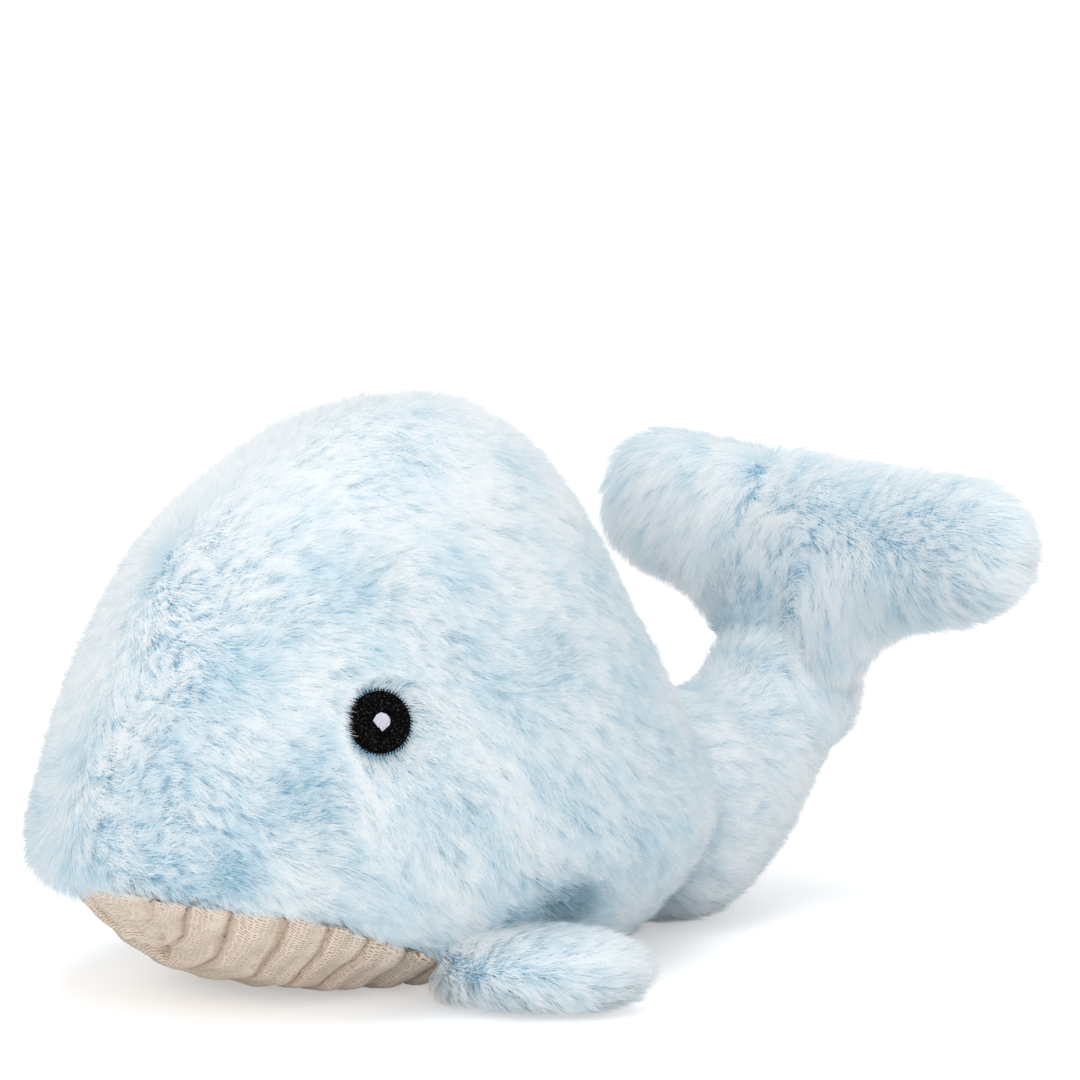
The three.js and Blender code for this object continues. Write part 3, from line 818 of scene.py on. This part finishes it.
# The ribs run straight across under the belly and fan out round the chin. Each line of stitching
# between two ribs is given by its place in Y under the middle, its slope and its curve in plan, in
# millimetres. The cloth of the chin itself is smooth, so the first lines there stay flat.
SEAM_LINES = [(-124, -0.7, 0), (-111, -0.5, 0), (-98.5, -0.3, 0), (-85.6, -0.52, 0.0035), (-77, -0.29, 0)]
SEAM_LINES += [(-65, -0.28, 0.0018), (-54, -0.25, 0.002), (-43, -0.41, 0.0057), (-31.5, -0.1, 0.0012)]
SEAM_LINES += [(-17.5, 0.02, 0)] + [(RIB_PITCH * (k - 0.5), 0, 0) for k in range(8)]
SEWN_LINES = (1.4, 2.6)
x, y, z = plain_points.T
across = (np.sqrt(x**2 + RIB_BEND**2) - RIB_BEND) / MM
lines = [(start + slope * across + curve * across**2) * MM for start, slope, curve in SEAM_LINES]
phase = sum(np.clip((y - a) / (b - a), 0, 1) for a, b in zip(lines[:-1], lines[1:]))
from_seam = 1 - 2 * np.abs(phase % 1 - 0.5)
crest = np.sqrt(1 - (1 - from_seam) ** RIB_ROUNDNESS)
sewn = ramp(phase, *SEWN_LINES)
showing = []
for place in points.tolist():
    nearest, normal, _, gap = surface_search.find_nearest(place)
    outside = (Vector(place) - nearest).dot(normal) > 0
    showing.append(1 if outside else ramp(gap, *HEM))
ribbed = plain_points + (RIB_SWELL - RIB_DEPTH * sewn * (1 - crest))[:, None] * outward
points += np.array(showing)[:, None] * (ribbed - points)

# The chin and the keel behind it are tucked in, the cloth crumples a little, and the chin has its nub.
x, y, z = points.T
tuck = CHIN_TUCK * ramp(y, -78 * MM, -104 * MM) * ramp(z, 36 * MM, 20 * MM)
tuck += KEEL_TUCK * ramp(y, -35 * MM, -60 * MM) * ramp(np.abs(x), 34 * MM, 8 * MM)
points -= tuck[:, None] * outward
crumple = sum(height * ripple(points, length, 31 + k) for k, (height, length) in enumerate(CRUMPLES))
points += outward * crumple[:, None]
tip = points[np.argmin(np.linalg.norm(points - np.array(CHIN_NUB) * MM, axis=1))]
nub = falloff(np.linalg.norm(points - tip, axis=1), NUB_RADIUS, power=4)
points += NUB_HEIGHT * nub[:, None] * np.array(NUB_WAY)
points[:, 2] = np.maximum(points[:, 2], 0)
belly.data.vertices.foreach_set("co", points.ravel())
along_rib = np.hypot(x, 1.3 * z) / MM
knit = np.stack([along_rib, RIB_COLUMN * phase, 0 * phase], axis=1)
attribute(belly.data, "knit", "FLOAT_VECTOR", "vector", knit)
# Painted shade: the seam value darkens the velour in the groove along each sewn line.
attribute(belly.data, "seam", "FLOAT", "value", 0.6 * sewn * ramp(from_seam, 0.3, 0))
attribute(belly.data, "brushed", "FLOAT", "value", 0.3 * ramp(phase % 1, 0.25, 0.7))

velour, tree, shader = finish_of(
    "ribbed_chenille_velour", Roughness=0.9, Specular_IOR_Level=0.15, Sheen_Weight=0.25, Sheen_Roughness=0.4
)
place = add(tree, "Attribute", attribute_name="knit").outputs["Vector"]
warp = add(tree, "TexNoise", {"Vector": place, "Scale": 0.5, "Detail": 3}).outputs["Color"]
wander = add(tree, "VectorMath", {0: warp, 1: TUFT_WANDER}, operation="MULTIPLY").outputs["Vector"]
nudged = add(tree, "VectorMath", {0: place, 1: wander}, operation="ADD").outputs["Vector"]
counted = add(tree, "VectorMath", {0: nudged, 1: (1 / COURSE, 1 / TUFT_COLUMN, 0)}, operation="MULTIPLY")
counted = add(tree, "SeparateXYZ", {"Vector": counted.outputs["Vector"]}).outputs
column = add(tree, "Math", {0: counted["Y"]}, operation="FLOOR").outputs["Value"]
shift = add(tree, "TexWhiteNoise", {"W": column}, noise_dimensions="1D").outputs["Value"]
course = add(tree, "Math", {0: counted["X"], 1: shift}, operation="ADD").outputs["Value"]
course = add(tree, "Math", {0: course, 1: 1.0}, operation="PINGPONG").outputs["Value"]
ends = add(tree, "Math", {0: counted["Y"], 1: 0.5}, operation="PINGPONG").outputs["Value"]
ends = add(tree, "MapRange", {"Value": ends, "From Min": 0.0, "From Max": 0.16}).outputs["Result"]
hollow = add(tree, "Math", {0: course, 1: ends}, operation="MULTIPLY").outputs["Value"]
fuzz = add(tree, "TexNoise", {"Vector": place, "Scale": 0.22, "Detail": 4})
gap = add(tree, "MapRange", {"Value": hollow, "From Min": 0.95, "From Max": 0.35})
worn = add(tree, "MapRange", {"Value": fuzz.outputs["Fac"], "From Min": 0.48, "From Max": 0.85})
smooth = add(tree, "Attribute", attribute_name="brushed").outputs["Fac"]
worn = add(tree, "Math", {0: worn.outputs["Result"], 1: smooth}, operation="ADD").outputs["Value"]
closed = add(tree, "Math", {0: gap.outputs["Result"], 1: worn}, operation="MAXIMUM", use_clamp=True)
beige = add(
    tree,
    "ValToRGB",
    {"Fac": closed.outputs["Value"]},
    stops=[(0.0, "#a9744f"), (1.0, "#f7e9da"), (0.5, "#ecd9c6")],
)
# Painted shade: the beige darkens towards tan in the grooves along the sewn lines.
painted_groove_shade = add(tree, "Attribute", attribute_name="seam").outputs["Fac"]
groove_shaded_beige = add(
    tree,
    "Mix",
    {"Factor": painted_groove_shade, "A": beige.outputs["Color"], "B": linear("#bba08b")},
    data_type="RGBA",
)
bump = add(tree, "Bump", {"Height": gap.outputs["Result"], "Strength": 0.6, "Distance": 0.4 * MM})
tree.links.new(groove_shaded_beige.outputs["Result"], shader.inputs["Base Color"])
tree.links.new(bump.outputs["Normal"], shader.inputs["Normal"])
belly.data.materials.append(velour)
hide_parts("belly_panel")
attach(belly, "whale_body")


# Eyes
# Each eye is embroidered: a black disc of short, overlapping satin stitches with a serrated edge, and
# a small white highlight, pointed below, stitched over it.
THREAD = 0.5 * MM
TWISTS_PER_METRE = 1800
STITCH_LENGTH = 3.4 * MM
STITCH_STEPS = 5
STITCH_ARCH = 0.35 * MM
STITCH_END = 0.12
ROW_PITCH = 0.8 * THREAD
EDGE_STITCHES = 128
EDGE_WIDTH = 1.2 * MM
EDGE_LIFT = 0.15 * MM
EDGE_LEAN = 0.12
EYE_DOME = 0.9 * MM
EYE_SINK = 0.8 * MM
SHINE_PITCH = 0.62 * THREAD
SHINE_SLANT = math.radians(-58)
SHINE_LIFT = 0.45 * MM
SHINE_SHARE = 0.95
HIGHLIGHT_OUTLINE = [(-0.05, -1.05), (0.85, -0.42), (0.98, 0.1), (0.62, 0.72), (0.05, 1.0)]
HIGHLIGHT_OUTLINE += [(-0.5, 0.78), (-1.0, 0.12)]


def thread_finish(name, dark, light):
    """Lustrous rayon embroidery thread, a little lighter where the light catches its twist."""
    grain = {"Scale": TWISTS_PER_METRE, "Detail": 3}
    stops = [(0.56, dark), (0.74, light)]
    return fibrous(name, grain, stops, 0.5, 0.1 * MM, Roughness=0.8, Specular_IOR_Level=0.06)


black_thread = thread_finish("black_rayon_thread", "#010101", "#46464c")
white_thread = thread_finish("white_rayon_thread", "#d4d5e2", "#ffffff")


def embroidery(name, stitches, material):
    """One piece of embroidery. A stitch is a start, an end and a height, in the eye's own plane."""
    curve = bpy.data.curves.new(name, "CURVE")
    curve.dimensions = "3D"
    curve.bevel_depth = THREAD / 2
    curve.bevel_resolution = 1
    curve.use_fill_caps = True
    for start, end, height in stitches:
        spline = curve.splines.new("POLY")
        spline.points.add(STITCH_STEPS - 1)
        for k, point in enumerate(spline.points):
            share = k / (STITCH_STEPS - 1)
            u, v = (1 - share) * np.array(start) + share * np.array(end)
            arch = STITCH_ARCH * (4 * share * (1 - share) - 1)
            point.co = (u, v, height(u, v) + arch, 1)
            point.radius = 0.55 + 0.45 * math.sin(math.pi * min(max(share, STITCH_END), 1 - STITCH_END))
    shape = bpy.data.objects.new(name, curve)
    scene.collection.objects.link(shape)
    graph = bpy.context.evaluated_depsgraph_get()
    mesh = bpy.data.meshes.new_from_object(shape.evaluated_get(graph))
    bpy.data.objects.remove(shape)
    bpy.data.curves.remove(curve)
    mesh.materials.clear()
    mesh.materials.append(material)
    mesh.shade_smooth()
    made = bpy.data.objects.new(name, mesh)
    scene.collection.objects.link(made)
    return made


def domed(lift):
    """Height over the eye's plane, domed towards the middle."""
    return lambda u, v: lift + EYE_DOME * (1 - (u * u + v * v) / EYE_RADIUS**2)


def inside(outline, u, v):
    """Whether a point is inside an outline."""
    odd = False
    for (u0, v0), (u1, v1) in zip(outline, outline[1:] + outline[:1]):
        if (v0 > v) != (v1 > v) and u < (u1 - u0) * (v - v0) / (v1 - v0) + u0:
            odd = not odd
    return odd


def way(angle):
    """A direction in the eye's own plane."""
    return np.array((math.cos(angle), math.sin(angle)))


def disc_stitches(chance):
    """Fill stitches in offset rows, under a border of stitches that point outwards."""
    stitches = []
    radius = EYE_RADIUS - EDGE_WIDTH
    for row in np.arange(-radius, radius, ROW_PITCH):
        half = math.sqrt(radius**2 - row**2)
        start = -half - chance.uniform(0, 1) * STITCH_LENGTH
        while start < half:
            end = start + STITCH_LENGTH * chance.uniform(0.8, 1.1)
            a, b = max(start, -half), min(end, half)
            if b - a > THREAD:
                stitches.append(((a, row), (b, row + chance.normal(0, 0.1) * THREAD), domed(0)))
            start = end
    for k in range(EDGE_STITCHES):
        angle = math.tau * (k + chance.normal(0, 0.12)) / EDGE_STITCHES
        outer = EYE_RADIUS * (0.98 + 0.11 * (k % 2) + chance.normal(0, 0.014))
        inner = outer - STITCH_LENGTH * chance.uniform(0.65, 1.15)
        stitches.append((inner * way(angle + EDGE_LEAN), outer * way(angle), domed(EDGE_LIFT)))
    return stitches


def highlight_stitches(radius):
    """Parallel stitches that fill the highlight's outline, slanting down to its point."""
    outline = [(radius * u, radius * v) for u, v in HIGHLIGHT_OUTLINE]
    slant = way(SHINE_SLANT)
    across = np.array((-slant[1], slant[0]))
    stitches = []
    for row in np.arange(-radius, radius, SHINE_PITCH):
        spots = [row * across + s * slant for s in np.linspace(-1.3 * radius, 1.3 * radius, 80)]
        held = [spot for spot in spots if inside(outline, *spot)]
        if held:
            stitches.append((held[0], held[-1], domed(SHINE_LIFT)))
    return stitches


for side, sign in SIDES:
    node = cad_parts[f"{side}_eye_disc"]
    disc = numbers(node.data.vertices, "co", 3)
    facing = np.linalg.svd(disc - disc.mean(axis=0))[2][2]
    facing *= np.sign(facing[0]) * sign
    ahead = np.cross((0, 0, 1), facing)
    ahead /= np.linalg.norm(ahead)
    above = np.cross(facing, ahead)
    centre = np.array(EYES[side])
    front = ((disc - centre) @ facing).max()
    placing = np.eye(4)
    placing[:3] = np.stack([ahead, above, facing, centre + (front - EYE_SINK) * facing], axis=1)
    highlight_box = [np.array(c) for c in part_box(f"{side}_eye_highlight")]
    radius = 0.5 * (highlight_box[1] - highlight_box[0]).max()
    chance = np.random.default_rng(40)
    threads = embroidery(f"{side}_eye_stitches", disc_stitches(chance), black_thread)
    shine = embroidery(f"{side}_eye_shine", highlight_stitches(SHINE_SHARE * radius), white_thread)
    for piece, slot in ((threads, "eye_thread_black"), (shine, "eye_thread_white")):
        piece.data.transform(Matrix(placing.tolist()))
        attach(piece, "whale_body")
    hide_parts(f"{side}_eye_highlight")
    node.data.materials.clear()
    node.data.materials.append(black_thread)


# Setting
# A plain white floor and backdrop, a large soft lamp in front and above, and the photograph's view.
MM_PER_PIXEL = 0.31
PHOTO = 1080
ORIGIN_PIXEL = (375, 965)
CAMERA_DISTANCE = 2.6
CAMERA_SENSOR = 36
LAMPS_AIM = (0, 0.03, 0.07)
FLOOR_SIZE = 30
FLOOR_DROP = 0.5 * MM
FLOOR_GLOW = 0.42
SKY_LIGHT = 0.7
WHITE = (1, 1, 1, 1)

bpy.ops.mesh.primitive_plane_add(size=FLOOR_SIZE)
floor = bpy.context.object
floor.name = "floor"
floor.location.z = -FLOOR_DROP
paper, tree, shader = finish_of("matt_white_paper", Base_Color=linear("#f4f4f4"), Roughness=0.9)
ray = add(tree, "LightPath").outputs["Is Camera Ray"]
lit = add(tree, "Emission", {"Color": WHITE, "Strength": FLOOR_GLOW})
both = add(tree, "AddShader", {0: shader.outputs["BSDF"], 1: lit.outputs["Emission"]})
seen = add(tree, "MixShader", {0: ray, 1: shader.outputs["BSDF"], 2: both.outputs["Shader"]})
tree.links.new(seen.outputs["Shader"], tree.nodes["Material Output"].inputs["Surface"])
floor.data.materials.append(paper)

world = bpy.data.worlds.new("studio")
scene.world = world
world.use_nodes = True
tree = world.node_tree
soft = tree.nodes["Background"]
soft.inputs["Color"].default_value = WHITE
soft.inputs["Strength"].default_value = SKY_LIGHT
white = add(tree, "Background", {"Color": WHITE, "Strength": 1})
ray = add(tree, "LightPath").outputs["Is Camera Ray"]
sky = add(tree, "MixShader", {0: ray, 1: soft.outputs["Background"], 2: white.outputs["Background"]})
tree.links.new(sky.outputs["Shader"], tree.nodes["World Output"].inputs["Surface"])


def lamp(name, place, size, power):
    """A square soft lamp that faces the whale."""
    data = bpy.data.lights.new(name, "AREA")
    data.size = size
    data.energy = power
    made = bpy.data.objects.new(name, data)
    made.location = place
    made.rotation_euler = (Vector(LAMPS_AIM) - made.location).to_track_quat("-Z", "Y").to_euler()
    scene.collection.objects.link(made)


lamp("key_lamp", Vector((0.2, -0.1, 2.5)), 1.4, 19)
lamp("fill_lamp", Vector((1.3, -1.5, 0.35)), 1.0, 8)

right, back = Vector(VIEW_RIGHT), Vector(VIEW_BACK)
middle_u = (PHOTO / 2 - ORIGIN_PIXEL[0]) * MM_PER_PIXEL * MM
middle_v = (ORIGIN_PIXEL[1] - PHOTO / 2) * MM_PER_PIXEL * MM
target = right * middle_u + Vector((0, 0, middle_v / math.cos(VIEW_RISE)))
towards = -back * math.cos(VIEW_RISE) + Vector((0, 0, math.sin(VIEW_RISE)))
camera_data = bpy.data.cameras.new("camera")
camera_data.sensor_width = CAMERA_SENSOR
camera_data.lens = camera_data.sensor_width * CAMERA_DISTANCE / (PHOTO * MM_PER_PIXEL * MM)
camera = bpy.data.objects.new("camera", camera_data)
camera.location = target + CAMERA_DISTANCE * towards
camera.rotation_euler = (-towards).to_track_quat("-Z", "Y").to_euler()
scene.collection.objects.link(camera)
scene.camera = camera
scene.view_settings.view_transform = "Standard"
